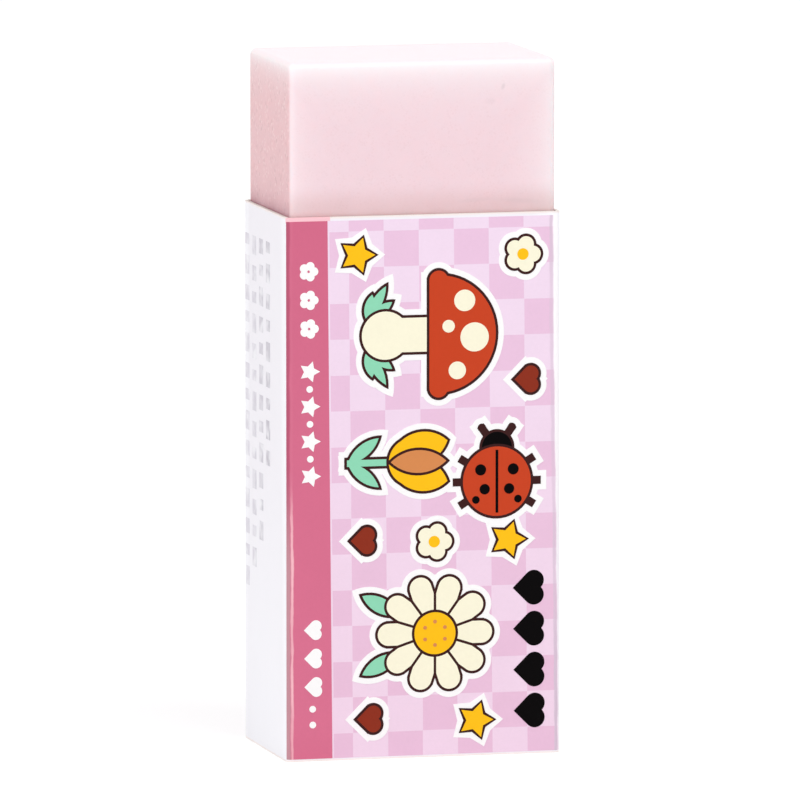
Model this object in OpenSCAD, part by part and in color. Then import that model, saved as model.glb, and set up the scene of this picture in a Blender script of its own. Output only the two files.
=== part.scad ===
// A small rubber eraser standing in its folded card sleeve, in millimetres.
// X runs across the printed front, which faces -Y. Z runs up along the eraser from its foot.

/* [Rubber block] */
// Width of the block across the front
block_w = 17.2; // [16.4:0.2:22]
// Depth of the block from front to back
block_d = 10.8; // [8:0.2:16]
// Length of the block, standing
block_h = 44; // [38:1:60]
// Rounding of the block's edges and corners
block_edge_r = 0.5; // [0.3:0.1:2]

/* [Card sleeve] */
// Height of the sleeve from its foot to its rim
sleeve_h = 34.3; // [33:0.1:37]
// Thickness of the card
card_t = 0.2; // [0.15:0.05:0.4]
// Gap between the block and the card on each side
slip_gap = 0.05; // [0.05:0.05:0.2]
// Inside radius of each fold in the card
fold_r = 0.1; // [0.05:0.05:0.3]
// Thickness of the glue in the lap seam
glue_t = 0.03; // [0.02:0.01:0.06]
// How far the glue flap stops short of the right side
flap_short = 0.6; // [0.2:0.1:2]
// Bare card round the glue on the flap
glue_margin = 0.8; // [0.3:0.1:2]

/* [Printed check] */
// Thickness of one layer of ink
ink_t = 0.015; // [0.01:0.005:0.03]
// Side of one square of the check
square_side = 2.26; // [1.8:0.02:3]
// Web of pale ink left between the corners of two squares
square_web = 0.02; // [0.02:0.01:0.1]
// Bare card beside the check, half way down the panel's far edge
margin_side = 0.02; // [0:0.01:0.6]
// Bare card kept on the fold at the panel's far edge
fold_trim = 0.02; // [0.01:0.01:0.1]
// Bare card above the check
margin_rim = 0.25; // [0.1:0.05:0.6]
// Bare card below the check
margin_foot = 0.15; // [0.1:0.05:0.6]
// Height of the cut row of squares under the rim
cut_row_h = 0.7; // [0.3:0.1:1.7]
// Width of the cut column of squares beside the stripe
cut_column_w = 1.25; // [0.3:0.05:1.7]
// Degrees by which the print leans across the card
print_lean = 0.5; // [0:0.1:0.6]

/* [Printed stripe] */
// Width of the stripe along the fold
stripe_w = 2.8; // [2.4:0.1:3.2]
// How far onto the fold the stripe begins
stripe_start = 0.03; // [0.02:0.01:0.1]
// Pale gap between the stripe and the squares
stripe_gap = 0.1; // [0.05:0.05:0.3]
// Width of one ornament on the stripe
ornament_w = 1.25; // [0.8:0.05:1.6]

/* [Printed motifs] */
// Width of the dark line round a motif
line_w = 0.17; // [0.1:0.01:0.3]
// Width of the white edge round a motif
halo_w = 0.36; // [0.2:0.02:0.5]
// Width of the toadstool's cap
toadstool_w = 8; // [6:0.2:9]
// Width of the daisy across its petals
daisy_w = 7.4; // [6:0.2:8]
// Length of the ladybird's shell
ladybird_w = 4.4; // [3.6:0.2:5]
// Height of the tulip
tulip_h = 6; // [5:0.2:6.6]
// Width of a heart
heart_w = 1.7; // [1.2:0.1:2]
// Width of a black heart
dark_heart_w = 2.2; // [1.6:0.1:2.4]
// Pitch of the row of black hearts
dark_heart_pitch = 2.6; // [2.5:0.05:2.9]
// Width of a star
star_w = 2.3; // [1.6:0.1:2.6]
// Width of a small blossom
blossom_w = 2.3; // [1.6:0.1:2.6]

/* [Printed side lines] */
// Width of one dash
dash_w = 1; // [0.4:0.05:1.1]
// Pitch of the four rows of dashes
dash_row_pitch = 1.85; // [1.4:0.05:1.9]
// Distance of the last row from the back fold
dash_inset = 0.6; // [0.6:0.05:1]
// Length of the longest row
dash_run = 22.4; // [10:0.2:24]
// Distance of the rows from the rim
dash_top = 2; // [0.5:0.1:4]
// Gap between two dashes
dash_gap = 0.7; // [0.3:0.05:1]

/* [Hidden] */
$fn = 64;

// The card turns each fold on this outside radius
fold_out_r = fold_r + card_t;

// The hollow holds the block with a slip gap, and the lap seam makes the back wall double
hollow_w = block_w + 2 * slip_gap;
hollow_d = block_d + 2 * slip_gap;
seam_t = card_t + glue_t;
sleeve_w = hollow_w + 2 * card_t;
sleeve_d = hollow_d + 2 * card_t + seam_t;
left_x = -sleeve_w / 2;
right_x = sleeve_w / 2;
front_y = -sleeve_d / 2;
back_y = sleeve_d / 2;
flap_y = back_y - seam_t;
block_y = (front_y + flap_y) / 2;

// Layers of ink, counted outwards from the card
ON_GROUND = 1;
ON_HALO = 2;
ON_OUTLINE = 3;
ON_FILL = 4;

// The printed field of a panel, as distances from its near edge and from the foot
field_top = sleeve_h - margin_rim;
check_start = stripe_w + stripe_gap;
front_panel_w = sleeve_w;
back_panel_w = sleeve_w - fold_out_r;

// A place on a panel, moved sideways by the lean of the print
function lean(along) = (sleeve_h / 2 - along) * tan(print_lean);
function at(across, along) = [across + lean(along), along];

// Plain shapes

module patch(across_from, across_to, along_from, along_to)
    polygon([at(across_from, along_from), at(across_to, along_from),
             at(across_to, along_to), at(across_from, along_to)]);

module quarter_disc(r)
    intersection() {
        circle(r);
        square(r);
    }

module quarter_ring(r_in, r_out)
    difference() {
        quarter_disc(r_out);
        circle(r_in);
    }

module round_rect(x0, x1, y0, y1, r) {
    translate([x0 + r, y0]) square([x1 - x0 - 2 * r, y1 - y0]);
    translate([x0, y0 + r]) square([x1 - x0, y1 - y0 - 2 * r]);
    translate([x1 - r, y1 - r]) quarter_disc(r);
    translate([x0 + r, y1 - r]) rotate(90) quarter_disc(r);
    translate([x0 + r, y0 + r]) rotate(180) quarter_disc(r);
    translate([x1 - r, y0 + r]) rotate(270) quarter_disc(r);
}

// Rubber block: a box rounded along its edges and at its corners

module edge_piece(length, r)
    rotate([90, 0, 90])
        linear_extrude(length)
            quarter_disc(r);

module corner_piece(r)
    intersection() {
        sphere(r);
        cube(r);
    }

module block_end(w, d, r) {
    translate([-w / 2, -d / 2, 0]) cube([w, d, r]);
    translate([-w / 2, d / 2, 0]) edge_piece(w, r);
    translate([w / 2, -d / 2, 0]) rotate(180) edge_piece(w, r);
    translate([-w / 2, -d / 2, 0]) rotate(90) edge_piece(d, r);
    translate([w / 2, d / 2, 0]) rotate(-90) edge_piece(d, r);
    for (corner = [[w, d, 0], [-w, d, 90], [-w, -d, 180], [w, -d, 270]])
        translate([corner[0] / 2, corner[1] / 2, 0])
            rotate(corner[2])
                corner_piece(r);
}

module block() {
    r = block_edge_r;
    core_w = block_w - 2 * r;
    core_d = block_d - 2 * r;
    color([0.95, 0.84, 0.86])
        translate([0, block_y, 0]) {
            translate([0, 0, r])
                linear_extrude(block_h - 2 * r)
                    round_rect(-block_w / 2, block_w / 2, -block_d / 2, block_d / 2, r);
            translate([0, 0, block_h - r]) block_end(core_w, core_d, r);
            translate([0, 0, r]) mirror([0, 0, 1]) block_end(core_w, core_d, r);
        }
}

// Card sleeve: one strip folded round from the glue flap, past the left side, the front and the
// right side, to the outer back panel

module fold_at(x, y, turn)
    translate([x, y])
        rotate(turn)
            quarter_ring(fold_r, fold_out_r);

module sleeve_section() {
    r = fold_out_r;
    front_w = sleeve_w - 2 * r;
    translate([left_x + r, flap_y - card_t]) square([front_w + r - card_t - flap_short, card_t]);
    fold_at(left_x + r, flap_y - r, 90);
    translate([left_x, front_y + r]) square([card_t, flap_y - front_y - 2 * r]);
    fold_at(left_x + r, front_y + r, 180);
    translate([left_x + r, front_y]) square([front_w, card_t]);
    fold_at(right_x - r, front_y + r, 270);
    translate([right_x - card_t, front_y + r]) square([card_t, sleeve_d - 2 * r]);
    fold_at(right_x - r, back_y - r, 0);
    translate([left_x + r, back_y - card_t]) square([front_w, card_t]);
}

module sleeve()
    color([0.96, 0.96, 0.97])
        linear_extrude(sleeve_h)
            sleeve_section();

module seam_glue() {
    start_x = left_x + fold_out_r + glue_margin;
    end_x = right_x - card_t - flap_short - glue_margin;
    color([0.86, 0.84, 0.72])
        translate([start_x, flap_y, glue_margin])
            cube([end_x - start_x, glue_t, sleeve_h - 2 * glue_margin]);
}

// Ink on the card. A wrapped print follows the folds, a flat one lies on what is below it.

module wrap_front()
    intersection() {
        linear_extrude(sleeve_h)
            difference() {
                round_rect(left_x - ink_t, right_x + ink_t, front_y - ink_t, back_y + ink_t,
                           fold_out_r + ink_t);
                round_rect(left_x, right_x, front_y, back_y, fold_out_r);
            }
        translate([left_x, front_y + fold_out_r, 0])
            rotate([90, 0, 0])
                linear_extrude(2 * fold_out_r)
                    children();
    }

module wrap_back()
    rotate(180)
        wrap_front()
            children();

module front_ink(layer)
    translate([left_x, front_y - layer * ink_t, 0])
        rotate([90, 0, 0])
            linear_extrude(ink_t)
                children();

module left_ink()
    translate([left_x, front_y, 0])
        rotate([90, 0, -90])
            linear_extrude(ink_t)
                children();

// The check

function column_edge(i) = check_start + cut_column_w + (i - 1) * square_side;
function row_edge(j) = field_top - cut_row_h - (j - 1) * square_side;

// The lean would carry the far edge past the fold, so it is trimmed there
module trimmed(panel_w, inset = 0)
    intersection() {
        children();
        square([panel_w - fold_trim - inset, sleeve_h]);
    }

module check_field(panel_w)
    trimmed(panel_w)
        patch(stripe_w, panel_w - margin_side, margin_foot, field_top);

// A square that the field's edge cuts ends half a web short of it, so the pale ink runs all round
module check_square(i, j, panel_w) {
    web = square_web / 2;
    far = panel_w - margin_side - web;
    patch(max(column_edge(i), check_start) + web, min(column_edge(i + 1) - web, far),
          max(row_edge(j + 1), margin_foot) + web, min(row_edge(j), field_top) - web);
}

module check_squares(panel_w) {
    columns = ceil((panel_w - margin_side - column_edge(1)) / square_side);
    rows = ceil((row_edge(1) - margin_foot) / square_side);
    trimmed(panel_w, square_web / 2)
        for (i = [0:columns], j = [0:rows])
            if ((i + j) % 2 == 1)
                check_square(i, j, panel_w);
}

module check_ground(panel_w)
    difference() {
        check_field(panel_w);
        check_squares(panel_w);
    }

module print_ground()
    color([0.95, 0.86, 0.94]) {
        wrap_front() check_ground(front_panel_w);
        wrap_back() check_ground(back_panel_w);
    }

module print_squares()
    color([0.92, 0.77, 0.88]) {
        wrap_front() check_squares(front_panel_w);
        wrap_back() check_squares(back_panel_w);
    }

module stripe_shape()
    polygon([[stripe_start, margin_foot], at(stripe_w, margin_foot),
             at(stripe_w, field_top), [stripe_start, field_top]]);

module print_stripe()
    color([0.85, 0.43, 0.56]) {
        wrap_front() stripe_shape();
        wrap_back() stripe_shape();
    }

// Rows of plain dashes on the left side. The row nearest the front is the shortest, and the
// dashes' lengths come round in turn.

side_panel_w = flap_y - front_y - fold_out_r;
row_shares = [0.64, 0.89, 0.98, 1];

function dash_across(row) = side_panel_w - dash_inset - (3 - row) * dash_row_pitch;
function dash_length(row, i) = 0.7 + 0.25 * ((2 * i + row) % 3);
function dash_start(row, i) = i == 0 ? 0 : dash_start(row, i - 1) + dash_length(row, i - 1) + dash_gap;

module dash_row(row)
    for (i = [0:30])
        if (dash_start(row, i) + dash_length(row, i) < row_shares[row] * dash_run)
            translate([-dash_w / 2, -dash_start(row, i) - dash_length(row, i)])
                square([dash_w, dash_length(row, i)]);

module print_side_lines()
    color([0.84, 0.83, 0.86])
        left_ink()
            for (row = [0:3])
                translate([-dash_across(row), sleeve_h - dash_top])
                    dash_row(row);

// Motif shapes, drawn upright. Each grows by g for its dark line and its white edge.

module disc(x, y, r, g = 0)
    translate([x, y])
        circle(r + g);

module bar(x0, x1, y0, y1, g = 0)
    translate([x0 - g, y0 - g])
        square([x1 - x0 + 2 * g, y1 - y0 + 2 * g]);

// A pointed leaf from the origin along +X: the overlap of two discs
module leaf(length, width, g = 0) {
    r = (length * length + width * width) / (4 * width);
    translate([length / 2, 0])
        intersection() {
            disc(0, r - width / 2, r, g);
            disc(0, width / 2 - r, r, g);
        }
}

module heart(w, g = 0) {
    side = w / (1 + sqrt(1 / 2));
    rotate(45)
        translate([-side / 2, -side / 2]) {
            bar(0, side, 0, side, g);
            disc(side / 2, side, side / 2, g);
            disc(side, side / 2, side / 2, g);
        }
}

module star(w, g = 0) {
    r_out = w / 2 + 1.2 * g;
    r_in = 0.52 * w / 2 + 1.1 * g;
    polygon([for (k = [0:9]) (k % 2 == 0 ? r_out : r_in) * [sin(36 * k), cos(36 * k)]]);
}

module blossom(w, g = 0)
    for (k = [0:4])
        disc(0.28 * w * sin(72 * k), 0.28 * w * cos(72 * k), 0.22 * w, g);

// Toadstool: a domed cap with a round brim on a stem with a swollen foot

module toadstool_cap(g) {
    r = toadstool_w / 2;
    brim = 0.15 * r;
    intersection() {
        disc(0, 0, r - brim / 2, g);
        bar(-r, r, 0, r, g);
    }
    bar(-r + brim, r - brim, -brim, brim, g);
    disc(-r + brim, 0, brim, g);
    disc(r - brim, 0, brim, g);
}

module toadstool_stem(g) {
    r = toadstool_w / 2;
    bar(-0.27 * r, 0.27 * r, -0.85 * r, 0, g);
    disc(0, -0.86 * r, 0.38 * r, g);
}

module toadstool_grass(g) {
    r = toadstool_w / 2;
    for (side = [-1, 1], tuft = [[150, 0.62], [125, 0.5], [168, 0.42]])
        translate([0.24 * side * r, -1.16 * r])
            rotate(90 - side * (tuft[0] - 90))
                leaf(tuft[1] * r, 0.16 * r, g);
}

module toadstool_spots(g) {
    r = toadstool_w / 2;
    for (spot = [[-0.52, 0.42, 0.17], [0.06, 0.58, 0.23], [0.58, 0.3, 0.14], [-0.12, 0.16, 0.1]])
        disc(spot[0] * r, spot[1] * r, spot[2] * r, g);
}

module toadstool_shape(g) {
    toadstool_cap(g);
    toadstool_stem(g);
    toadstool_grass(g);
}

// Daisy: ten round-ended petals about a centre, over two leaves

module daisy_petal(g) {
    r = daisy_w / 2;
    half = 0.19 * r;
    bar(0, r - half, -half, half, g);
    disc(r - half, 0, half, g);
}

module daisy_petals(g)
    for (k = [0:9])
        rotate(36 * k + 18)
            daisy_petal(g);

module daisy_leaves(g)
    for (turn = [-62, -118])
        rotate(turn)
            translate([0.72 * daisy_w / 2, 0])
                leaf(0.72 * daisy_w / 2, 0.26 * daisy_w / 2, g);

module daisy_gaps()
    for (k = [0:9])
        rotate(36 * k)
            bar(0.3 * daisy_w / 2, daisy_w / 2, -line_w / 2, line_w / 2);

// Ladybird: a round shell with spots, a head and six legs, walking to the left

module ladybird_shell(g) disc(0, 0, ladybird_w / 2, g);

module ladybird_head(g) disc(-0.98 * ladybird_w / 2, 0, 0.44 * ladybird_w / 2, g);

module ladybird_legs(g)
    for (turn = [58, 90, 122, 238, 270, 302])
        rotate(turn)
            bar(0, 1.22 * ladybird_w / 2, -line_w / 2, line_w / 2, g);

module ladybird_feelers(g)
    for (side = [-1, 1])
        translate([-1.2 * ladybird_w / 2, 0.2 * side * ladybird_w / 2])
            rotate(180 - 35 * side) {
                bar(0, 0.42 * ladybird_w / 2, -line_w / 2, line_w / 2, g);
                disc(0.42 * ladybird_w / 2, 0, 0.1, g);
            }

module ladybird_shape(g) {
    ladybird_shell(g);
    ladybird_head(g);
    ladybird_legs(g);
    ladybird_feelers(g);
}

module ladybird_spots() {
    r = ladybird_w / 2;
    for (side = [-1, 1], spot = [[-0.34, 0.48, 0.16], [0.22, 0.36, 0.15], [0.52, 0.62, 0.11]])
        disc(spot[0] * r, side * spot[1] * r, spot[2] * r);
}

// Tulip: three pointed petals in a round cup, on a stem with two leaves

module tulip_cup(g) {
    r = 0.25 * tulip_h;
    disc(0, r, r, g);
    for (side = [-1, 1])
        translate([0.25 * side * r, 0.1 * r])
            rotate(90 - 14 * side)
                leaf(2.5 * r, 1.35 * r, g);
}

module tulip_middle(g)
    translate([0, 0.02 * tulip_h])
        rotate(90)
            leaf(0.6 * tulip_h, 0.24 * tulip_h, g);

module tulip_stem(g) bar(-0.035 * tulip_h, 0.035 * tulip_h, -0.45 * tulip_h, 0, g);

module tulip_leaves(g)
    for (side = [-1, 1])
        translate([0, -0.44 * tulip_h])
            rotate(90 - 38 * side)
                leaf(0.42 * tulip_h, 0.13 * tulip_h, g);

module tulip_shape(g) {
    tulip_cup(g);
    tulip_middle(g);
    tulip_stem(g);
    tulip_leaves(g);
}

// The motifs are one drawing. It keeps its size where the check is wide enough for the tulip beside
// the ladybird, with their lines, edges and gap, and shrinks with a narrower check.

check_w = front_panel_w - margin_side - check_start;
pair_w = tulip_h + 1.3 * ladybird_w + 5 * (line_w + halo_w);
art_fit = min(1, check_w / pair_w);

// Two rows of small motifs keep to the long edges of the check, and the rest lies between them
low_row_inset = 1.8;
high_row_inset = 2.2;
mid = sleeve_h / 2;
low = check_start + art_fit * low_row_inset;
high = front_panel_w - margin_side - art_fit * high_row_inset;

// A shift runs along the sleeve from its middle, and across it from a row or from half way between
function spot_at(shift, across) = [mid + art_fit * shift[0], across + art_fit * shift[1]];
function from_low(shift) = spot_at(shift, low);
function from_high(shift) = spot_at(shift, high);
function from_centre(shift) = spot_at(shift, (low + high) / 2);

toadstool_shift = [-9.6, -0.2];
ladybird_shift = [-0.2, -1.9];
tulip_shift = [-1.6, 1.9];
daisy_shift = [9.3, -0.6];
star_shifts = [[-14.7, 0], [3.5, -1.2], [14.9, -3.4]];
heart_shifts = [[-6.6, 0], [14.6, 0.4], [3.3, 0.1]];
blossom_shifts = [[-14.5, -0.1], [3.5, -0.6]];
dark_heart_start = 6.6;

toadstool_at = from_centre(toadstool_shift);
ladybird_at = from_high(ladybird_shift);
tulip_at = from_low(tulip_shift);
daisy_at = from_centre(daisy_shift);
stars_at = [from_low(star_shifts[0]), from_high(star_shifts[1]), from_high(star_shifts[2])];
hearts_at = [from_high(heart_shifts[0]), from_low(heart_shifts[1]), from_low(heart_shifts[2])];
blossoms_at = [from_high(blossom_shifts[0]), from_centre(blossom_shifts[1])];
dark_hearts_at = [for (k = [0:3]) from_high([dark_heart_start + k * dark_heart_pitch, 0])];

module place(spot, fit = art_fit)
    translate(at(spot[1], sleeve_h - spot[0]))
        rotate(-90)
            scale(fit)
                children();

module places(spots, fit = art_fit)
    for (spot = spots)
        place(spot, fit)
            children();

module toadstool_place() place(toadstool_at) children();
module ladybird_place() place(ladybird_at) children();
module tulip_place() place(tulip_at) children();
module daisy_place() place(daisy_at) children();

// Everything inside one dark line, grown by g
module motif_shapes(g) {
    toadstool_place() toadstool_shape(g);
    ladybird_place() ladybird_shape(g);
    tulip_place() tulip_shape(g);
    daisy_place() {
        daisy_petals(g);
        daisy_leaves(g);
    }
    places(stars_at) star(star_w, g);
    places(hearts_at) heart(heart_w, g);
    places(blossoms_at) blossom(blossom_w, g);
}

// White ornaments along the middle of the stripe

ornament_across = 1.55;
blossom_row = [3.4, 5.2, 7];
star_row = [9.7, 11.9, 14.1, 16.3];
heart_row = [26, 27.8, 29.6];
dot_row = [10.8, 13, 15.2, 31, 32];

module stripe_ornaments() {
    places([for (s = blossom_row) [s, ornament_across]], 1) blossom(ornament_w);
    places([for (s = star_row) [s, ornament_across]], 1) star(1.1 * ornament_w);
    places([for (s = heart_row) [s, ornament_across]], 1) heart(ornament_w);
    places([for (s = dot_row) [s, ornament_across]], 1) circle(0.17 * ornament_w);
}

module print_white()
    color([1, 1, 1]) {
        front_ink(ON_GROUND) {
            motif_shapes(line_w + halo_w);
            stripe_ornaments();
        }
    }

module print_outline()
    color([0.23, 0.1, 0.1])
        front_ink(ON_HALO)
            motif_shapes(line_w);

module print_black()
    color([0.06, 0.05, 0.06]) {
        front_ink(ON_GROUND) places(dark_hearts_at) heart(dark_heart_w);
        front_ink(ON_OUTLINE) ladybird_place()
            difference() {
                ladybird_head(0);
                ladybird_shell(line_w);
            }
        front_ink(ON_FILL) ladybird_place() {
            ladybird_spots();
            bar(-0.9 * ladybird_w / 2, 0.9 * ladybird_w / 2, -line_w / 2, line_w / 2);
        }
    }

module print_red()
    color([0.78, 0.25, 0.1])
        front_ink(ON_OUTLINE) {
            toadstool_place() toadstool_cap(0);
            ladybird_place() ladybird_shell(0);
        }

module print_brown()
    color([0.55, 0.17, 0.07])
        front_ink(ON_OUTLINE)
            places(hearts_at) heart(heart_w);

module print_cream()
    color([0.98, 0.98, 0.86]) {
        front_ink(ON_OUTLINE) {
            toadstool_place()
                difference() {
                    toadstool_stem(0);
                    toadstool_cap(line_w);
                }
            daisy_place()
                difference() {
                    daisy_petals(0);
                    daisy_gaps();
                    circle(0.36 * daisy_w / 2 + line_w);
                }
            places(blossoms_at)
                difference() {
                    blossom(blossom_w);
                    circle(0.16 * blossom_w);
                }
        }
        front_ink(ON_FILL) toadstool_place() toadstool_spots(0);
    }

module print_yellow()
    color([1, 0.76, 0.04])
        front_ink(ON_OUTLINE) {
            daisy_place() circle(0.36 * daisy_w / 2);
            places(stars_at) star(star_w);
            places(blossoms_at) circle(0.16 * blossom_w);
            tulip_place()
                difference() {
                    tulip_cup(0);
                    tulip_middle(line_w);
                }
        }

module print_mint()
    color([0.56, 0.85, 0.71])
        front_ink(ON_OUTLINE) {
            toadstool_place()
                difference() {
                    toadstool_grass(0);
                    toadstool_stem(line_w);
                }
            daisy_place()
                difference() {
                    daisy_leaves(0);
                    daisy_petals(line_w);
                }
            tulip_place()
                difference() {
                    union() {
                        tulip_stem(0);
                        tulip_leaves(0);
                    }
                    tulip_cup(line_w);
                }
        }

module print_tan()
    color([0.85, 0.54, 0.31]) {
        front_ink(ON_OUTLINE) tulip_place() tulip_middle(0);
        front_ink(ON_FILL) daisy_place()
            for (k = [0:5])
                disc(0.2 * daisy_w / 2 * cos(60 * k), 0.2 * daisy_w / 2 * sin(60 * k), 0.12);
    }

sleeve();
seam_glue();
block();
print_ground();
print_squares();
print_stripe();
print_side_lines();
print_white();
print_outline();
print_black();
print_red();
print_brown();
print_cream();
print_yellow();
print_mint();
print_tan();
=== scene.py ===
"""Finishes a small rubber eraser in its printed card sleeve for a studio picture.

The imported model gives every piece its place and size. This script models the rubber block again as a
soft moulded solid, gives card, inks and glue their materials, and sets floor, lights and camera.
"""

import logging
import math
from dataclasses import dataclass
from enum import Enum

import bmesh
import bpy
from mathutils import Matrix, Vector, noise


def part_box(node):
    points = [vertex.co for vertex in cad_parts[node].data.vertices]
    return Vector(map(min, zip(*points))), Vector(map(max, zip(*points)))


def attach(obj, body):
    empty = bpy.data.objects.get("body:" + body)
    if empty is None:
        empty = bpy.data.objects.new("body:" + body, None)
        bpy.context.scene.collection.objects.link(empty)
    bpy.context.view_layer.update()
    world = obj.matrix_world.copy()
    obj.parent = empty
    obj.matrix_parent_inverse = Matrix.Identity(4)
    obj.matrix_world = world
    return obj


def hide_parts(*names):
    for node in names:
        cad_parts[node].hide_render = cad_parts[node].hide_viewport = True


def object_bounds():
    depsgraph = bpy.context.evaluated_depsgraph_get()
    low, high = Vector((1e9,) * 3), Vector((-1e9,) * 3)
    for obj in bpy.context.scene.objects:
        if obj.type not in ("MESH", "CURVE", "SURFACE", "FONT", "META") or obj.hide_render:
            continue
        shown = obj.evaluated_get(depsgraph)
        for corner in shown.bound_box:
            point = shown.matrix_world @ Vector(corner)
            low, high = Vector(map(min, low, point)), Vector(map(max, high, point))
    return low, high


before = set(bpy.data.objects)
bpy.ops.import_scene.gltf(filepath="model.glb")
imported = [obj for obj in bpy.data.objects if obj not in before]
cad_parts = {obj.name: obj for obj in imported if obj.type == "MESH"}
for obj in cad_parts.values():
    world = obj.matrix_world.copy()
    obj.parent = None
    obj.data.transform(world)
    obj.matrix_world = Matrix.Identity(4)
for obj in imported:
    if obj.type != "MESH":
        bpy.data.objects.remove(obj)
cad_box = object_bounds()

LOG = logging.getLogger("eraser")
MM = 0.001

Socket = bpy.types.NodeSocket
Node = bpy.types.Node
Feed = Socket | float | tuple[float, ...]
Colour = tuple[float, float, float, float]
Pair = tuple[float, float]


class Body(Enum):
    """The two bodies that slide along each other."""

    SLEEVE = "sleeve"
    BLOCK = "block"


class Blend(Enum):
    """How one colour goes over another."""

    MIX = "MIX"
    MULTIPLY = "MULTIPLY"


@dataclass(frozen=True)
class Paint:
    """A colour as a screen shows it, from 0 to 255."""

    red: float
    green: float
    blue: float

    def linear(self) -> Colour:
        """The colour in the renderer's linear values, with full alpha."""
        return (*[self._channel(value / 255) for value in (self.red, self.green, self.blue)], 1.0)

    @staticmethod
    def _channel(value: float) -> float:
        """One channel from its screen value to its linear value, by the sRGB rule."""
        return value / 12.92 if value <= 0.04045 else ((value + 0.055) / 1.055) ** 2.4


class Graph:
    """Short calls that add, fill and join the nodes of one node tree."""

    # A Mix node has sockets for every kind of value: these are its share and its colours.
    MIX_INPUTS = (0, 6, 7)
    MIX_RESULT = 2

    def __init__(self, tree: bpy.types.NodeTree) -> None:
        """Wraps a node tree.

        Args:
            tree: The tree of a material, a world or a node group.
        """
        self.tree = tree

    def node(self, kind: str, **settings: object) -> Node:
        """Adds a node.

        Args:
            kind: The node's type, without its ShaderNode prefix.
            settings: The node's own properties.

        Returns:
            The new node.
        """
        made = self.tree.nodes.new("ShaderNode" + kind)
        for name, value in settings.items():
            setattr(made, name, value)
        return made

    def feed(self, socket: Socket, value: Feed) -> None:
        """Joins a socket to another one, or sets its own value.

        Args:
            socket: The input socket.
            value: A socket to join, or a constant.
        """
        if isinstance(value, Socket):
            self.tree.links.new(value, socket)
        else:
            socket.default_value = value

    def math(self, operation: str, *values: Feed, clamp: bool = False) -> Socket:
        """Adds a Math node.

        Args:
            operation: The node's operation, such as MULTIPLY.
            values: Its inputs in order.
            clamp: Whether the result stays between 0 and 1.

        Returns:
            The result.
        """
        made = self.node("Math", operation=operation, use_clamp=clamp)
        for socket, value in zip(made.inputs, values):
            self.feed(socket, value)
        return made.outputs[0]

    def ramp(self, value: Feed, low: Feed, high: Feed, start: Feed = 0.0, end: Feed = 1.0) -> Socket:
        """Maps a value smoothly from one range to another.

        Args:
            value: What is mapped.
            low: The value at which the result is start.
            high: The value at which the result is end.
            start: The result at low and before it.
            end: The result at high and past it.

        Returns:
            The mapped value.
        """
        made = self.node("MapRange", interpolation_type="SMOOTHSTEP")
        feeds = {"Value": value, "From Min": low, "From Max": high, "To Min": start, "To Max": end}
        for name, item in feeds.items():
            self.feed(made.inputs[name], item)
        return made.outputs["Result"]

    def between(self, share: Socket, start: float, end: float) -> Socket:
        """The value that lies between start and end by a share, in a straight line."""
        return self.math("MULTIPLY_ADD", share, end - start, start)

    def inside(self, along: Socket, low: float, high: float) -> Socket:
        """Measures how far a point lies inside the nearer of two sides.

        Args:
            along: The point's place on the axis between the sides.
            low: The place of the first side.
            high: The place of the second side.

        Returns:
            The distance, in the unit of the places.
        """
        centred = self.math("ABSOLUTE", self.math("SUBTRACT", along, (low + high) / 2))
        return self.math("SUBTRACT", (high - low) / 2, centred)

    def fall(self, distance: Socket, reach: Feed) -> Socket:
        """Falls off with a distance: 1 at none, and about a third at the reach."""
        return self.math("EXPONENT", self.math("DIVIDE", self.math("MULTIPLY", distance, -1.0), reach))

    def mix(self, share: Feed, first: Feed, second: Feed, blend: Blend = Blend.MIX) -> Socket:
        """Blends two colours.

        Args:
            share: How much of the second colour there is.
            first: The colour at 0.
            second: The colour at 1.
            blend: How the second colour goes over the first.

        Returns:
            The blended colour.
        """
        made = self.node("Mix", data_type="RGBA", blend_type=blend.value)
        for index, value in zip(self.MIX_INPUTS, (share, first, second)):
            self.feed(made.inputs[index], value)
        return made.outputs[self.MIX_RESULT]

    def noise(self, vector: Socket, per_mm: float, detail: float = 2.0) -> Socket:
        """Adds a Noise Texture.

        Args:
            vector: The place that it reads.
            per_mm: How many of its features lie along a millimetre.
            detail: How many finer layers it has.

        Returns:
            The noise, about 0.5 in the middle.
        """
        made = self.node("TexNoise")
        self.feed(made.inputs["Vector"], vector)
        self.feed(made.inputs["Scale"], per_mm / MM)
        self.feed(made.inputs["Detail"], detail)
        return made.outputs["Fac"]

    def axes(self, vector: Socket) -> tuple[Socket, Socket, Socket]:
        """Splits a vector.

        Args:
            vector: The vector.

        Returns:
            Its part along each axis.
        """
        made = self.node("SeparateXYZ")
        self.feed(made.inputs[0], vector)
        return tuple(made.outputs)

    def length(self, vector: Socket) -> Socket:
        """Measures a vector.

        Args:
            vector: The vector.

        Returns:
            Its length.
        """
        made = self.node("VectorMath", operation="LENGTH")
        self.feed(made.inputs[0], vector)
        return made.outputs["Value"]

    def place(self) -> Socket:
        """The point's place on the object, in the frame's own metres."""
        return self.node("TexCoord").outputs["Object"]


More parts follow.
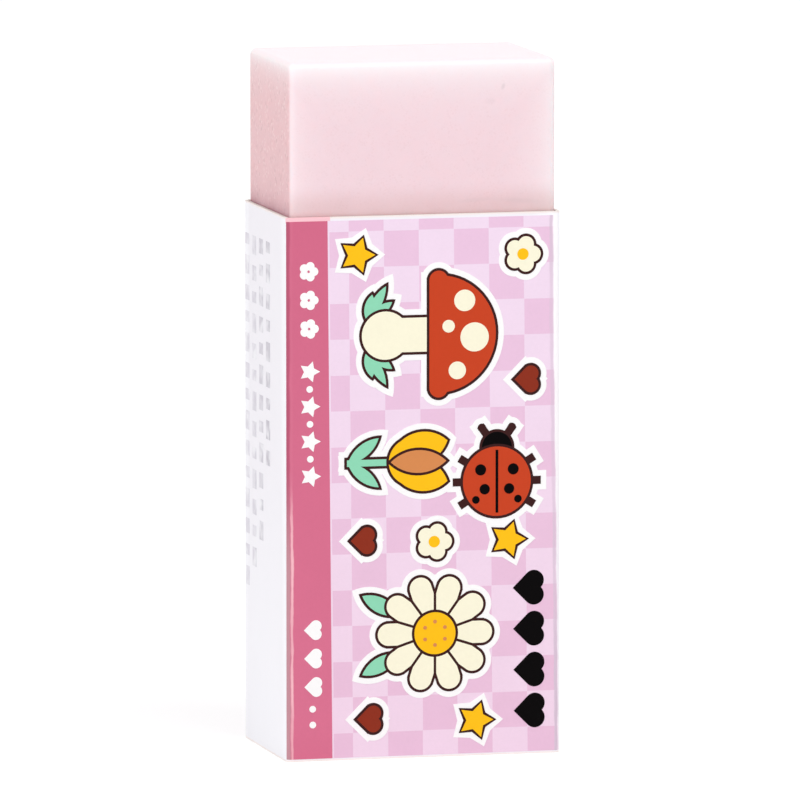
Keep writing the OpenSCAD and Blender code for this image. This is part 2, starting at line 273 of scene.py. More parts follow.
@dataclass(frozen=True)
class SleeveGauge:
    """Measures a point of the sleeve against its folds, its cut edges and its lower part."""

    graph: Graph
    place: Socket

    FOLD_RADIUS = 0.3 * MM
    # Where the lower part begins and where it is full, as shares of the rim's height.
    LOWER_PART = (0.56, 0.34)
    # The fold line's distance from its fold, how much that grows at the foot, and its waver.
    LINE_START = 0.26 * MM
    LINE_STEP = 0.03 * MM
    LINE_WAVER = 0.14 * MM
    WAVER_PER_MM = 0.5

    def past_fold(self) -> Socket:
        """Measures how far a point of the outside lies from the nearest fold.

        Returns:
            The distance in metres.
        """
        low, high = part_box("sleeve")
        across, deep, _ = self.graph.axes(self.place)
        return self.graph.math("MAXIMUM", self.graph.inside(across, low.x, high.x),
                               self.graph.inside(deep, low.y, high.y))

    def past_cut(self) -> Socket:
        """How far the point lies from the nearer of rim and foot, in metres."""
        low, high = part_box("sleeve")
        return self.graph.inside(self.graph.axes(self.place)[2], low.z, high.z)

    def foot_share(self) -> Socket:
        """How much the point belongs to the lower part: 0 in the upper half, 1 near the foot."""
        begin, full = (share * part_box("sleeve")[1].z for share in self.LOWER_PART)
        return self.graph.ramp(self.graph.axes(self.place)[2], begin, full)

    def line_place(self, extra: Socket) -> Socket:
        """Finds where the line beside a fold runs: farther in towards the foot, and wavering.

        Args:
            extra: How much farther in the line lies, in metres.

        Returns:
            The line's distance from the fold in metres.
        """
        graph = self.graph
        waver = graph.noise(self.place, self.WAVER_PER_MM, detail=3.0)
        start = graph.math("MULTIPLY_ADD", waver, self.LINE_WAVER, self.LINE_START)
        line = graph.math("MULTIPLY_ADD", self.foot_share(), self.LINE_STEP, start)
        return graph.math("ADD", line, extra)

    def skin_depth(self) -> Socket:
        """Measures how deep a point lies under the sleeve's outside, round its folds too.

        Returns:
            The depth in metres.
        """
        graph = self.graph
        low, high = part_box("sleeve")
        across, deep, _ = graph.axes(self.place)
        past = [graph.math("SUBTRACT", self.FOLD_RADIUS, graph.inside(along, low[axis], high[axis]))
                for axis, along in enumerate((across, deep))]
        corner = graph.node("CombineXYZ")
        for socket, value in zip(corner.inputs, past):
            graph.feed(socket, graph.math("MAXIMUM", value, 0.0))
        flat = graph.math("MINIMUM", graph.math("MAXIMUM", *past), 0.0)
        beyond = graph.math("ADD", graph.length(corner.outputs[0]), flat)
        return graph.math("SUBTRACT", self.FOLD_RADIUS, beyond)


class Effect:
    """A shader node group that several materials share, each with its own values."""

    NAME = ""
    INPUTS: dict[str, str] = {}
    OUTPUT = ("", "")

    def __init__(self) -> None:
        """Builds the group once."""
        self.tree = bpy.data.node_groups.new(self.NAME, "ShaderNodeTree")
        for label, kind in self.INPUTS.items():
            self.tree.interface.new_socket(name=label, in_out="INPUT", socket_type="NodeSocket" + kind)
        label, kind = self.OUTPUT
        self.tree.interface.new_socket(name=label, in_out="OUTPUT", socket_type="NodeSocket" + kind)
        graph = Graph(self.tree)
        source = self.tree.nodes.new("NodeGroupInput")
        sink = self.tree.nodes.new("NodeGroupOutput")
        graph.feed(sink.inputs[0], self.build(graph, source.outputs))

    def build(self, graph: Graph, given: bpy.types.NodeOutputs) -> Socket:
        """Joins the group's inputs to its output.

        Args:
            graph: The group's own graph.
            given: The sockets of the group's inputs.

        Returns:
            The socket that the group puts out.
        """
        raise NotImplementedError

    def put(self, graph: Graph, **feeds: Feed) -> Socket:
        """Places the group in a material.

        Args:
            graph: The material's graph.
            feeds: A value or socket for each of the group's inputs.

        Returns:
            The group's output.
        """
        made = graph.node("Group", node_tree=self.tree)
        for label, value in feeds.items():
            graph.feed(made.inputs[label], value)
        return made.outputs[0]


class Mottle(Effect):
    """The slight unevenness of a printed or moulded colour, in a broad and a fine pattern."""

    NAME = "mottle"
    INPUTS = {"Vector": "Vector", "Color": "Color", "Broad": "Float", "Fine": "Float"}
    OUTPUT = ("Color", "Color")
    BROAD_PER_MM = 0.55
    FINE_PER_MM = 4.5

    def build(self, graph: Graph, given: bpy.types.NodeOutputs) -> Socket:
        """Makes the colour lighter and darker about itself.

        Args:
            graph: The group's own graph.
            given: The place, the colour, and the strength of each pattern.

        Returns:
            The uneven colour.
        """
        place = given["Vector"]
        broad = graph.math("SUBTRACT", graph.noise(place, self.BROAD_PER_MM), 0.5)
        fine = graph.math("SUBTRACT", graph.noise(place, self.FINE_PER_MM, detail=3.0), 0.5)
        level = graph.math("MULTIPLY_ADD", broad, given["Broad"], 1.0)
        level = graph.math("MULTIPLY_ADD", fine, given["Fine"], level)
        return graph.mix(1.0, given["Color"], level, Blend.MULTIPLY)


class Speckle(Effect):
    """Small separate grains of another colour, closer together in some patches."""

    NAME = "speckle"
    INPUTS = {"Vector": "Vector", "Color": "Color", "Grain": "Color", "Share": "Float",
              "PerMetre": "Float"}
    OUTPUT = ("Color", "Color")
    # A grain's solid middle and its outline, as shares of the space that it has.
    RADII = (0.28, 0.4)
    PATCH = (0.35, 0.65)
    PATCH_PER_MM = 1.3

    def build(self, graph: Graph, given: bpy.types.NodeOutputs) -> Socket:
        """Scatters grains over a colour.

        Args:
            graph: The group's own graph.
            given: The place, the two colours, the strength and the number of grains along a metre.

        Returns:
            The speckled colour.
        """
        cells = graph.node("TexVoronoi")
        graph.feed(cells.inputs["Vector"], given["Vector"])
        graph.feed(cells.inputs["Scale"], given["PerMetre"])
        grain = graph.ramp(cells.outputs["Distance"], *self.RADII, 1.0, 0.0)
        patch = graph.ramp(graph.noise(given["Vector"], self.PATCH_PER_MM), *self.PATCH)
        share = graph.math("MULTIPLY", grain, given["Share"])
        return graph.mix(graph.math("MULTIPLY", share, patch), given["Color"], given["Grain"])


class FoldLine(Effect):
    """The line along each fold of the sleeve, worst near the foot: cracked ink on the rose stripe,
    painted shade along the ink's edge on the pale inks.
    """

    NAME = "fold_line"
    INPUTS = {"Vector": "Vector", "Width": "Float", "Extra": "Float", "Top": "Float"}
    OUTPUT = ("Mask", "Float")
    # The line's half width where it is thinnest and broadest, as shares of the width given, and the
    # share of it at full strength.
    HALF = (0.15, 0.85)
    CORE = 0.3
    BREAK_PER_MM = 1.1
    # The weaker stretches along the line, and their strength.
    RUN = (0.35, 0.6)
    RUN_LEAST = 0.65
    RUN_PER_MM = 0.16
    FOOT_FULL = 0.8

    def build(self, graph: Graph, given: bpy.types.NodeOutputs) -> Socket:
        """Marks a thin band beside the fold.

        Args:
            graph: The group's own graph.
            given: The place, the line's width and how much farther in it lies, both in metres, and
                its strength in the upper half.

        Returns:
            The mask, 1 on the line.
        """
        gauge = SleeveGauge(graph, given["Vector"])
        off = graph.math("SUBTRACT", gauge.past_fold(), gauge.line_place(given["Extra"]))
        ragged = graph.noise(given["Vector"], self.BREAK_PER_MM, detail=3.0)
        half = graph.math("MULTIPLY", given["Width"], graph.between(ragged, *self.HALF))
        core = graph.math("MULTIPLY", half, self.CORE)
        crack_and_edge_shade = graph.ramp(graph.math("ABSOLUTE", off), core, half, 1.0, 0.0)
        along = graph.noise(given["Vector"], self.RUN_PER_MM, detail=1.0)
        run = graph.ramp(along, *self.RUN, self.RUN_LEAST, 1.0)
        worst = graph.ramp(gauge.foot_share(), 0.0, self.FOOT_FULL, given["Top"], 1.0)
        return graph.math("MULTIPLY", crack_and_edge_shade, graph.math("MULTIPLY", run, worst))


class FoldShade(Effect):
    """The outer part of a fold, between the card's edge and the line beside it, where the inks show
    worn ink with painted light and shade.
    """

    NAME = "fold_shade"
    INPUTS = {"Vector": "Vector", "Share": "Float", "Extra": "Float"}
    OUTPUT = ("Mask", "Float")
    FADE = 0.13 * MM
    SET_BACK = 0.4 * FADE

    def build(self, graph: Graph, given: bpy.types.NodeOutputs) -> Socket:
        """Marks the fold outside the line beside it.

        Args:
            graph: The group's own graph.
            given: The place, the strength, and how much farther in the line lies, in metres.

        Returns:
            The mask, up to the strength given.
        """
        gauge = SleeveGauge(graph, given["Vector"])
        inner = graph.math("SUBTRACT", gauge.line_place(given["Extra"]), self.SET_BACK)
        outer = graph.math("SUBTRACT", inner, self.FADE)
        fold_wear_and_light = graph.ramp(gauge.past_fold(), outer, inner, 1.0, 0.0)
        return graph.math("MULTIPLY", fold_wear_and_light, given["Share"])


class Fade(Effect):
    """Where a faint print has not taken on the card, in broad patches and in soft smaller ones."""

    NAME = "fade"
    INPUTS = {"Vector": "Vector", "Share": "Float"}
    OUTPUT = ("Mask", "Float")
    WORN = (0.3, 0.7)
    WORN_PER_MM = 1.3
    PATCH = (0.35, 0.65)
    PATCH_LEAST = 0.4
    PATCH_PER_MM = 0.45

    def build(self, graph: Graph, given: bpy.types.NodeOutputs) -> Socket:
        """Marks the places without ink.

        Args:
            graph: The group's own graph.
            given: The place and the strength.

        Returns:
            The mask, up to the strength given.
        """
        place = given["Vector"]
        worn = graph.ramp(graph.noise(place, self.WORN_PER_MM, detail=1.0), *self.WORN)
        patches = graph.ramp(graph.noise(place, self.PATCH_PER_MM), *self.PATCH, self.PATCH_LEAST, 1.0)
        return graph.math("MULTIPLY", graph.math("MULTIPLY", worn, patches), given["Share"])


class Grain(Effect):
    """The fine relief of a surface: fibres, ink or moulded rubber."""

    NAME = "grain"
    INPUTS = {"Vector": "Vector", "Fine": "Float", "Broad": "Float"}
    OUTPUT = ("Height", "Float")
    FINE_PER_MM = 7.0
    BROAD_PER_MM = 0.8

    def build(self, graph: Graph, given: bpy.types.NodeOutputs) -> Socket:
        """Adds a fine and a broad relief.

        Args:
            graph: The group's own graph.
            given: The place and the height of each relief in metres.

        Returns:
            The height in metres.
        """
        fine = graph.noise(given["Vector"], self.FINE_PER_MM, detail=4.0)
        broad = graph.noise(given["Vector"], self.BROAD_PER_MM)
        fine_height = graph.math("MULTIPLY", fine, given["Fine"])
        return graph.math("MULTIPLY_ADD", broad, given["Broad"], fine_height)


@dataclass(frozen=True)
class Levels:
    """The strengths of a broad and of a fine pattern."""

    broad: float
    fine: float


@dataclass(frozen=True)
class Grains:
    """Grains of another colour: their strength, and how many lie along a millimetre."""

    colour: Paint
    share: float
    per_mm: float


@dataclass(frozen=True)
class Effects:
    """The effects that the finishes share."""

    mottle: Mottle
    speckle: Speckle
    fold_line: FoldLine
    fold_shade: FoldShade
    fade: Fade
    grain: Grain


@dataclass(frozen=True)
class Surface:
    """A material in the making: its nodes, its shader, the point's place and the shared effects."""

    graph: Graph
    shader: Node
    place: Socket
    effects: Effects

    def feed(self, name: str, value: Feed) -> None:
        """Joins one of the shader's inputs to a socket, or sets its own value."""
        self.graph.feed(self.shader.inputs[name], value)

    def mottled(self, colour: Feed, levels: Levels) -> Socket:
        """Makes a colour lighter and darker about itself, by the strengths given."""
        return self.effects.mottle.put(self.graph, Vector=self.place, Color=colour,
                                       Broad=levels.broad, Fine=levels.fine)

    def speckled(self, colour: Feed, grains: Grains) -> Socket:
        """Scatters grains over a colour."""
        return self.effects.speckle.put(self.graph, Vector=self.place, Color=colour,
                                        Grain=grains.colour.linear(), Share=grains.share,
                                        PerMetre=grains.per_mm / MM)

    def emboss(self, relief: Levels) -> None:
        """Bumps the surface with its broad and its fine relief.

        Args:
            relief: The height of each relief in metres.
        """
        height = self.effects.grain.put(self.graph, Vector=self.place,
                                        Fine=relief.fine, Broad=relief.broad)
        bump = self.graph.node("Bump")
        # The height comes in metres, so it isn't scaled.
        bump.inputs["Distance"].default_value = 1.0
        self.graph.feed(bump.inputs["Height"], height)
        self.feed("Normal", bump.outputs["Normal"])


@dataclass(frozen=True)
class Finish:
    """What every finish has: a name, a base colour and a roughness."""

    name: str
    colour: Paint
    roughness: float

    def material(self, effects: Effects) -> bpy.types.Material:
        """Builds the material.

        Args:
            effects: The shared node groups.

        Returns:
            The finished material.
        """
        made = bpy.data.materials.new(self.name)
        made.use_nodes = True
        made.diffuse_color = self.colour.linear()
        graph = Graph(made.node_tree)
        surface = Surface(graph, made.node_tree.nodes["Principled BSDF"], graph.place(), effects)
        surface.feed("Roughness", self.roughness)
        self.shade(surface)
        return made

    def shade(self, surface: Surface) -> None:
        """Adds what only this finish has.

        Args:
            surface: The material in the making.
        """
        raise NotImplementedError


@dataclass(frozen=True)
class RimBleed:
    """The tint where the stripe's ink has bled up to the rim: in front, and turned about behind."""

    colour: Paint = Paint(252, 188, 199)
    share: float = 0.8
    stripe_reach: float = 2.8 * MM
    soft_edge: float = 0.05 * MM
    depth: Pair = (0.15 * MM, 0.3 * MM)
    below_rim: Pair = (0.4 * MM, 0.3 * MM)

    def mask(self, surface: Surface) -> Socket:
        """Marks the bled ink.

        Args:
            surface: The card in the making.

        Returns:
            The strength of the tint.
        """
        graph = surface.graph
        low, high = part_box("sleeve")
        across, deep, up = graph.axes(surface.place)
        turned = graph.math("MULTIPLY", across, graph.math("SIGN", deep))
        edge = high.x - self.stripe_reach
        stripe = graph.ramp(turned, edge - self.soft_edge, edge)
        outside = graph.ramp(graph.inside(deep, low.y, high.y), *self.depth, self.share, 0.0)
        near_rim = graph.ramp(up, *(high.z - below for below in self.below_rim))
        return graph.math("MULTIPLY", graph.math("MULTIPLY", stripe, outside), near_rim)


@dataclass(frozen=True)
class CardFinish(Finish):
    """White card: coated and smooth outside, bare board inside and along its cuts."""

    gloss: float = 0.3
    mottling: Levels = Levels(0.025, 0.02)
    relief: Levels = Levels(0.006 * MM, 0.0012 * MM)
    # Between these depths, and these distances from a cut, the coating and the board meet.
    coating: Pair = (0.032 * MM, 0.08 * MM)
    cut_edge: Pair = (0.01 * MM, 0.03 * MM)
    board: Paint = Paint(236, 230, 224)
    fibres: Grains = Grains(Paint(205, 196, 186), 0.6, 9.0)
    board_roughness: float = 0.85
    # Painted light: the whiter lower part, from a share of the height down, which lifts the shade near
    # the floor, and a painted highlight in the strip inside each fold.
    foot: Paint = Paint(251, 250, 255)
    foot_light_from: float = 0.7
    foot_light_strength: float = 0.9
    fold_highlight: Pair = (0.8 * MM, 1.9 * MM)
    # The warmer line along the cuts: its waver, its least reach as a share of that, and its strength.
    rim: Paint = Paint(249, 234, 229)
    rim_reach: float = 0.22 * MM
    rim_least: float = 0.3
    rim_share: float = 0.9
    rim_per_mm: float = 0.9
    bleed: RimBleed = RimBleed()

    def shade(self, surface: Surface) -> None:
        """Colours the coated and the bare faces.

        Args:
            surface: The material in the making.
        """
        graph = surface.graph
        gauge = SleeveGauge(graph, surface.place)
        bare = graph.math("MAXIMUM", graph.ramp(gauge.skin_depth(), *self.coating),
                          graph.ramp(gauge.past_cut(), *self.cut_edge, 1.0, 0.0))
        board = surface.speckled(self.board.linear(), self.fibres)
        colour = graph.mix(bare, self.coated(surface, gauge), board)
        colour = graph.mix(self.bleed.mask(surface), colour, self.bleed.colour.linear())
        surface.feed("Base Color", colour)
        surface.feed("Roughness", graph.ramp(bare, 0.0, 1.0, self.roughness, self.board_roughness))
        surface.feed("Specular IOR Level", self.gloss)
        surface.emboss(self.relief)

    def coated(self, surface: Surface, gauge: SleeveGauge) -> Socket:
        """Colours the coating: painted light makes it whiter below, lifting the shade near the floor,
        and a painted highlight lies beside the folds; it is warmer along the cuts.

        Args:
            surface: The material in the making.
            gauge: The gauge at the point.

        Returns:
            The coating's colour.
        """
        graph = surface.graph
        low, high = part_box("sleeve")
        up = graph.axes(surface.place)[2]
        # Painted light: whiter towards the foot, which lifts the floor's shade, and a painted highlight
        # beside the folds.
        below = graph.ramp(up, self.foot_light_from * high.z, low.z, 0.0, self.foot_light_strength)
        beside = graph.ramp(gauge.past_fold(), *self.fold_highlight, 1.0, 0.0)
        painted_light_share = graph.math("MAXIMUM", below, beside)
        white = graph.mix(painted_light_share, self.colour.linear(), self.foot.linear())
        waver = graph.noise(surface.place, self.rim_per_mm, detail=3.0)
        ragged = graph.math("MULTIPLY_ADD", waver, self.rim_reach, self.rim_least * self.rim_reach)
        rim = graph.ramp(gauge.past_cut(), 0.0, ragged, self.rim_share, 0.0)
        return graph.mix(rim, surface.mottled(white, self.mottling), self.rim.linear())


@dataclass(frozen=True)
class InkFinish(Finish):
    """A printed ink: slightly uneven, worn on the folds and cracked beside them, with painted shade and
    painted highlight along the folds.
    """

    roughness: float = 0.42
    gloss: float = 0.18
    mottling: Levels = Levels(0.04, 0.05)
    relief: Levels = Levels(0.004 * MM, 0.0008 * MM)
    # The ink's colours at the foot and towards the back, where they differ. It turns to the back's
    # between two shares of the way from the middle to the front.
    foot: Paint | None = None
    back: Paint | None = None
    back_turn: Pair = (0.2, -0.75)
    # The colours of the fold's outer strip above and below, and its strength: worn ink that shows the
    # card, lifted by a painted highlight on the pale inks, and painted shade on the rose stripe. At the
    # rim it is wider by the bare reach, and at the foot by the foot's share of that.
    fold_wear_and_light: tuple[Paint, Paint] = (Paint(255, 253, 255), Paint(250, 246, 252))
    fold_wear_and_light_share: float = 0.96
    bare_reach: float = 0.28 * MM
    bare_foot: float = -0.35
    # The line beside the fold: by default a darker line, painted shade along the ink's edge; on the
    # rose stripe a pale line of cracked ink.
    crack_and_edge_shade: Paint = Paint(216, 195, 213)
    fold_line_width: float = 0.34 * MM
    fold_line_top: float = 0.72
    fold_line_roughness: float = 0.7
    # How much of a faint print is gone, and the card that shows there.
    faded: float = 0.0
    bare: Paint = Paint(247, 246, 250)

    def shade(self, surface: Surface) -> None:
        """Colours the ink and what shows through it.

        Args:
            surface: The material in the making.
        """
        graph, place, effects = surface.graph, surface.place, surface.effects
        ink = surface.mottled(self.plain(surface), self.mottling)
        if self.faded:
            gone = effects.fade.put(graph, Vector=place, Share=self.faded)
            ink = graph.mix(gone, ink, self.bare.linear())
        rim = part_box("sleeve")[1].z
        extra = graph.ramp(graph.axes(place)[2], 0.0, rim,
                           self.bare_foot * self.bare_reach, self.bare_reach)
        top, low = self.fold_wear_and_light
        strip = graph.mix(SleeveGauge(graph, place).foot_share(), top.linear(), low.linear())
        # The fold's outer strip: worn ink with painted light, dark painted shade on the rose stripe and
        # a painted highlight on the pale inks.
        fold_wear_and_light = effects.fold_shade.put(graph, Vector=place, Share=self.fold_wear_and_light_share, Extra=extra)
        ink = graph.mix(fold_wear_and_light, ink, strip)
        # The line beside the fold: cracked ink on the rose stripe, painted shade on the pale inks.
        crack_and_shade_line = effects.fold_line.put(graph, Vector=place, Width=self.fold_line_width, Extra=extra,
                                        Top=self.fold_line_top)
        surface.feed("Base Color", graph.mix(crack_and_shade_line, ink, self.crack_and_edge_shade.linear()))
        surface.feed("Roughness", graph.ramp(crack_and_shade_line, 0.0, 1.0, self.roughness, self.fold_line_roughness))
        surface.feed("Specular IOR Level", self.gloss)
        surface.emboss(self.relief)

    def plain(self, surface: Surface) -> Feed:
        """Gives the unworn ink's colour, with its change towards the foot and the back.

        Args:
            surface: The material in the making.

        Returns:
            The colour.
        """
        graph = surface.graph
        low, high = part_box("sleeve")
        _, deep, up = graph.axes(surface.place)
        colour = self.colour.linear()
        if self.foot:
            colour = graph.mix(graph.ramp(up, high.z, 0.0), colour, self.foot.linear())
        if self.back:
            behind = graph.ramp(deep, *(share * low.y for share in self.back_turn))
            colour = graph.mix(behind, colour, self.back.linear())
        return colour


@dataclass(frozen=True)
class GlueFinish(Finish):
    """A dried film of glue."""

    mottling: Levels = Levels(0.2, 0.1)
    relief: Levels = Levels(0.01 * MM, 0.0)

    def shade(self, surface: Surface) -> None:
        """Makes the film uneven."""
        surface.feed("Base Color", surface.mottled(self.colour.linear(), self.mottling))
        surface.emboss(self.relief)


@dataclass(frozen=True)
class Mark:
    """A small soft mark on the rubber: middle and reach in millimetres, lean in degrees, strength."""

    middle: tuple[float, float, float]
    reach: tuple[float, float, float]
    lean: float
    strength: float

    SOLID = 0.2

    def mask(self, surface: Surface) -> Socket:
        """Marks the points that it covers.

        Args:
            surface: The rubber in the making.

        Returns:
            The mask, up to the mark's strength.
        """
        graph = surface.graph
        moved = graph.node("Mapping", vector_type="TEXTURE")
        graph.feed(moved.inputs["Vector"], surface.place)
        graph.feed(moved.inputs["Location"], tuple(value * MM for value in self.middle))
        graph.feed(moved.inputs["Rotation"], (0.0, math.radians(self.lean), 0.0))
        graph.feed(moved.inputs["Scale"], tuple(value * MM for value in self.reach))
        return graph.ramp(graph.length(moved.outputs["Vector"]), self.SOLID, 1.0, self.strength, 0.0)


@dataclass(frozen=True)
class PaintedEdgeLight:
    """A painted highlight along the block's free edges: a pale colour that stands in for the light
    passing through the rubber there.
    """

    colour: Paint = Paint(255, 250, 252)
    # How far it goes down a front face and a side face, and how it weakens round the edge itself.
    top_reach: Pair = (1.35 * MM, 0.85 * MM)
    crown: Pair = (0.3 * MM, 0.03 * MM)
    crown_share: float = 0.42
    # How far it goes in from the upright edges, and its strength at the left and at the right one: the
    # painted highlight is stronger on the right.
    upright_reach: float = 1.25 * MM
    upright_share: Pair = (0.38, 0.64)

    def mask(self, surface: Surface, side: Socket) -> Socket:
        """Marks the painted highlight.

        Args:
            surface: The rubber in the making.
            side: How far the point belongs to a side face.

        Returns:
            The strength of the bloom.
        """
        graph = surface.graph
        low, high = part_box("block")
        across, _, up = graph.axes(surface.place)
        drop = graph.fall(graph.math("SUBTRACT", high.z, up), graph.between(side, *self.top_reach))
        crown = graph.ramp(up, *(high.z - below for below in self.crown), 1.0, self.crown_share)
        inwards = graph.fall(graph.inside(across, low.x, high.x), self.upright_reach)
        strength = graph.ramp(across, low.x, high.x, *self.upright_share)
        upright = graph.math("MULTIPLY", graph.math("MULTIPLY", inwards, strength),
                             graph.math("SUBTRACT", 1.0, side))
        return graph.math("MAXIMUM", graph.math("MULTIPLY", drop, crown), upright)


@dataclass(frozen=True)
class RimShadeBand:
    """Painted shade in a band about the sleeve's rim, darker towards the rim, where the card meets the
    block.
    """

    moulded: Paint = Paint(200, 152, 146)
    side_shade: Paint = Paint(170, 114, 127)
    # On the front and back faces: a broad band, and a thin painted shadow where the card touches.
    reach: Pair = (0.35 * MM, 2.1 * MM)
    share: float = 0.3
    contact_reach: float = 0.15 * MM
    contact_share: float = 0.22
    side_shade_reach: float = 0.67 * MM
    side_shade_share: float = 0.77
    # The least and the most that patches multiply the band by.
    patches: Pair = (0.55, 1.45)
    patches_per_mm: float = 0.35

    def mask(self, surface: Surface, side: Socket) -> Socket:
        """Marks the painted shade.

        Args:
            surface: The rubber in the making.
            side: How far the point belongs to a side face.

        Returns:
            The strength of the band.
        """
        graph = surface.graph
        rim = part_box("sleeve")[1].z
        off = graph.math("ABSOLUTE", graph.math("SUBTRACT", graph.axes(surface.place)[2], rim))
        broad = graph.ramp(off, *self.reach, self.share, 0.0)
        contact = graph.fall(off, self.contact_reach)
        moulded = graph.math("MULTIPLY_ADD", contact, self.contact_share, broad)
        side_shade = graph.math("MULTIPLY", graph.fall(off, self.side_shade_reach), self.side_shade_share)
        band = graph.ramp(side, 0.0, 1.0, moulded, side_shade)
        uneven = graph.between(graph.noise(surface.place, self.patches_per_mm), *self.patches)
        return graph.math("MULTIPLY", band, uneven, clamp=True)


@dataclass(frozen=True)
class RubberFinish(Finish):
    """Soft, faintly translucent rubber whose narrow sides are painted darker, as painted shade."""

    gloss: float = 0.3
    mottling: Levels = Levels(0.035, 0.03)
    relief: Levels = Levels(0.012 * MM, 0.004 * MM)
    pits: Grains = Grains(Paint(212, 168, 172), 0.1, 5.5)
    # The narrow sides' colour is painted shade: darker than the front, with its own mottling and
    # grains.
    side_shade: Paint = Paint(234, 192, 196)
    side_shade_mottling: Levels = Levels(0.07, 0.08)
    side_grains: tuple[Grains, ...] = (
        Grains(Paint(248, 222, 222), 0.6, 3.4),
        Grains(Paint(212, 168, 172), 0.55, 2.4),
    )
    painted_edge_light: PaintedEdgeLight = PaintedEdgeLight()
    rim_shade: RimShadeBand = RimShadeBand()
    mark: Paint = Paint(200, 180, 186)
    marks: tuple[Mark, ...] = (
        Mark((5.2, -5.5, 42.2), (0.17, 0.6, 0.32), 20, 0.3),
        Mark((4.4, -5.5, 41.3), (0.5, 0.6, 0.3), 0, 0.1),
        Mark((6.2, -5.5, 35.0), (1.9, 0.6, 0.25), 4, 0.16),
        Mark((3.4, -5.5, 35.1), (1.6, 0.6, 0.2), -4, 0.14),
    )
    # The light that passes under the surface: its share, its reach, and each colour's part of that.
    subsurface: float = 0.35
    light_reach: float = 1.1 * MM
    light_radii: tuple[float, float, float] = (1.0, 0.55, 0.5)

    def shade(self, surface: Surface) -> None:
        """Colours the moulded faces, the sides with their painted shade, the painted highlight on the
        edges and the painted shade about the rim, and gives the rubber depth.

        Args:
            surface: The material in the making.
        """
        graph = surface.graph
        side = graph.node("Attribute", attribute_name=RubberBlock.SIDE_SHADE).outputs["Fac"]
        moulded = surface.speckled(surface.mottled(self.colour.linear(), self.mottling), self.pits)
        # The sides' darker copy of the colour is painted shade.
        side_shade = surface.mottled(self.side_shade.linear(), self.side_shade_mottling)
        for grains in self.side_grains:
            side_shade = surface.speckled(side_shade, grains)
        colour = graph.mix(side, moulded, side_shade)
        # The pale edges are a painted highlight.
        colour = graph.mix(self.painted_edge_light.mask(surface, side), colour, self.painted_edge_light.colour.linear())
        # The band about the rim is painted shade.
        rim_shade = graph.mix(side, self.rim_shade.moulded.linear(), self.rim_shade.side_shade.linear())
        colour = graph.mix(self.rim_shade.mask(surface, side), colour, rim_shade)
        for mark in self.marks:
            colour = graph.mix(mark.mask(surface), colour, self.mark.linear())
        surface.feed("Base Color", colour)
        surface.feed("Subsurface Weight", self.subsurface)
        surface.feed("Subsurface Radius", self.light_radii)
        surface.feed("Subsurface Scale", self.light_reach)
        surface.feed("Specular IOR Level", self.gloss)
        surface.emboss(self.relief)


def add_object(name: str, data: bpy.types.ID) -> bpy.types.Object:
    """Adds an object to the scene.

    Args:
        name: The object's name.
        data: Its mesh, lamp or camera.

    Returns:
        The object.
    """
    made = bpy.data.objects.new(name, data)
    bpy.context.scene.collection.objects.link(made)
    return made


def add_mesh(name: str, mesh_maker: bmesh.types.BMesh) -> bpy.types.Object:
    """Adds a finished bmesh to the scene, and frees it.

    Args:
        name: The name of the object and its mesh.
        mesh_maker: The bmesh.

    Returns:
        The object.
    """
    mesh = bpy.data.meshes.new(name)
    mesh_maker.to_mesh(mesh)
    mesh_maker.free()
    return add_object(name, mesh)


